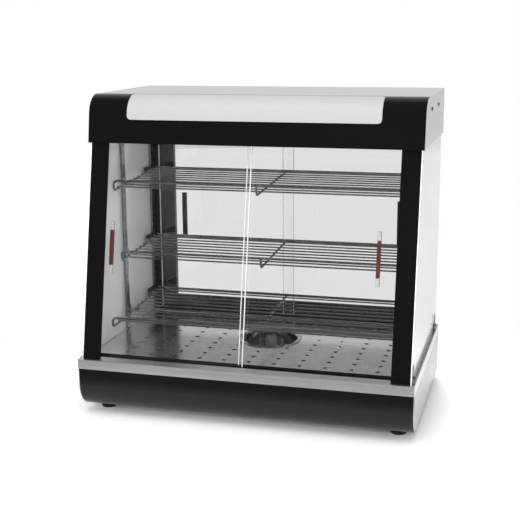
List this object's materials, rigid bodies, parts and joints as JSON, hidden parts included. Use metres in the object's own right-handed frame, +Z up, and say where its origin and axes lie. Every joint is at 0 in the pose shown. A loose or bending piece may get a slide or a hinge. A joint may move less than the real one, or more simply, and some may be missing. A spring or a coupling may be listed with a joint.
{
  "type": "snack warmer display cabinet",
  "caption": "Countertop heated display cabinet with a leaning glazed front, sliding doors front and rear, wire shelves, a lit hood and a steel base.",
  "frame": {"origin": "centre of the bounding box in plan, on the plane the feet stand on", "axes": "+Z up, -Y towards the customer side (the leaning glass), +X to the right seen from the customer side"},
  "size_m": [0.66, 0.44, 0.623],
  "materials": {
    "stainless": "brushed",
    "polished_steel": "polished",
    "chromed_wire": "polished",
    "black_gloss": "gloss",
    "black_track": "satin",
    "clear_glass": "gloss",
    "diffuser": "satin",
    "amber_grip": "gloss",
    "clear_post": "gloss",
    "black_rubber": "matte",
    "black_plastic": "matte",
    "heater_sheath": "heat tinted",
    "lamp_glass": "frosted",
    "red_lens": "gloss",
    "galvanised": "galvanised"
  },
  "bodies": {
    "cabinet": {"base_bottom_pan": "galvanised", "base_front_panel": "black_gloss", "base_rear_panel": "stainless", "base_side_left": "stainless", "base_side_right": "stainless", "deck_plate": "stainless", "element_brackets": "galvanised", "feet": "black_rubber", "front_pillar_left": "black_gloss", "front_pillar_right": "black_gloss", "front_track_bottom": "black_track", "front_track_top": "black_track", "heating_element": "heater_sheath", "hood_ceiling": "polished_steel", "hood_fascia": "black_gloss", "hood_roof": "stainless", "hood_screws": "stainless", "hood_side_left": "stainless", "hood_side_right": "stainless", "indicator_lamp": "red_lens", "lamp_holders": "black_plastic", "lamp_tube": "lamp_glass", "light_diffuser": "diffuser", "light_switch_body": "black_plastic", "power_inlet": "black_plastic", "power_switch_body": "black_plastic", "rear_bar": "black_gloss", "rear_post_left": "black_gloss", "rear_post_right": "black_gloss", "rear_track_bottom": "black_track", "rear_track_top": "black_track", "rim_frame": "stainless", "shelf_bottom": "chromed_wire", "shelf_hooks": "stainless", "shelf_middle": "chromed_wire", "shelf_top": "chromed_wire", "side_clips": "stainless", "side_panel_left": "polished_steel", "side_panel_right": "polished_steel", "side_rail_left": "stainless", "side_rail_right": "stainless", "thermostat_body": "black_plastic", "upright_front_left": "stainless", "upright_front_right": "stainless", "upright_rear_left": "stainless", "upright_rear_right": "stainless"},
    "front_door_left": {"front_door_left": "clear_glass", "front_grip_left": "amber_grip", "front_grip_posts_left": "clear_post"},
    "front_door_right": {"front_door_right": "clear_glass", "front_grip_right": "amber_grip", "front_grip_posts_right": "clear_post"},
    "rear_door_left": {"rear_door_left": "clear_glass", "rear_handle_left": "black_plastic"},
    "rear_door_right": {"rear_door_right": "clear_glass", "rear_handle_right": "black_plastic"},
    "knob": {"thermostat_knob": "black_plastic"},
    "power_rocker": {"power_rocker": "black_plastic"},
    "light_rocker": {"light_rocker": "black_plastic"},
    "water_cup": {"water_pan": "polished_steel"}
  },
  "joints": [
    {"name": "front_left_slide", "type": "slide", "parent": "cabinet", "child": "front_door_left", "axis": [1, 0, 0], "range_m": [0, 0.28]},
    {"name": "front_right_slide", "type": "slide", "parent": "cabinet", "child": "front_door_right", "axis": [-1, 0, 0], "range_m": [0, 0.28]},
    {"name": "rear_left_slide", "type": "slide", "parent": "cabinet", "child": "rear_door_left", "axis": [1, 0, 0], "range_m": [0, 0.28]},
    {"name": "rear_right_slide", "type": "slide", "parent": "cabinet", "child": "rear_door_right", "axis": [-1, 0, 0], "range_m": [0, 0.28]},
    {"name": "thermostat_turn", "type": "hinge", "parent": "cabinet", "child": "knob", "pos_m": [-0.2, 0.202, 0.056], "axis": [0, -1, 0], "range_deg": [0, 270]},
    {"name": "power_rock", "type": "hinge", "parent": "cabinet", "child": "power_rocker", "pos_m": [-0.13, 0.2, 0.056], "axis": [1, 0, 0], "range_deg": [0, 16]},
    {"name": "light_rock", "type": "hinge", "parent": "cabinet", "child": "light_rocker", "pos_m": [-0.092, 0.2, 0.056], "axis": [1, 0, 0], "range_deg": [0, 16]},
    {"name": "cup_lift", "type": "slide", "parent": "cabinet", "child": "water_cup", "axis": [0, 0, 1], "range_m": [0, 0.03]}
  ]
}
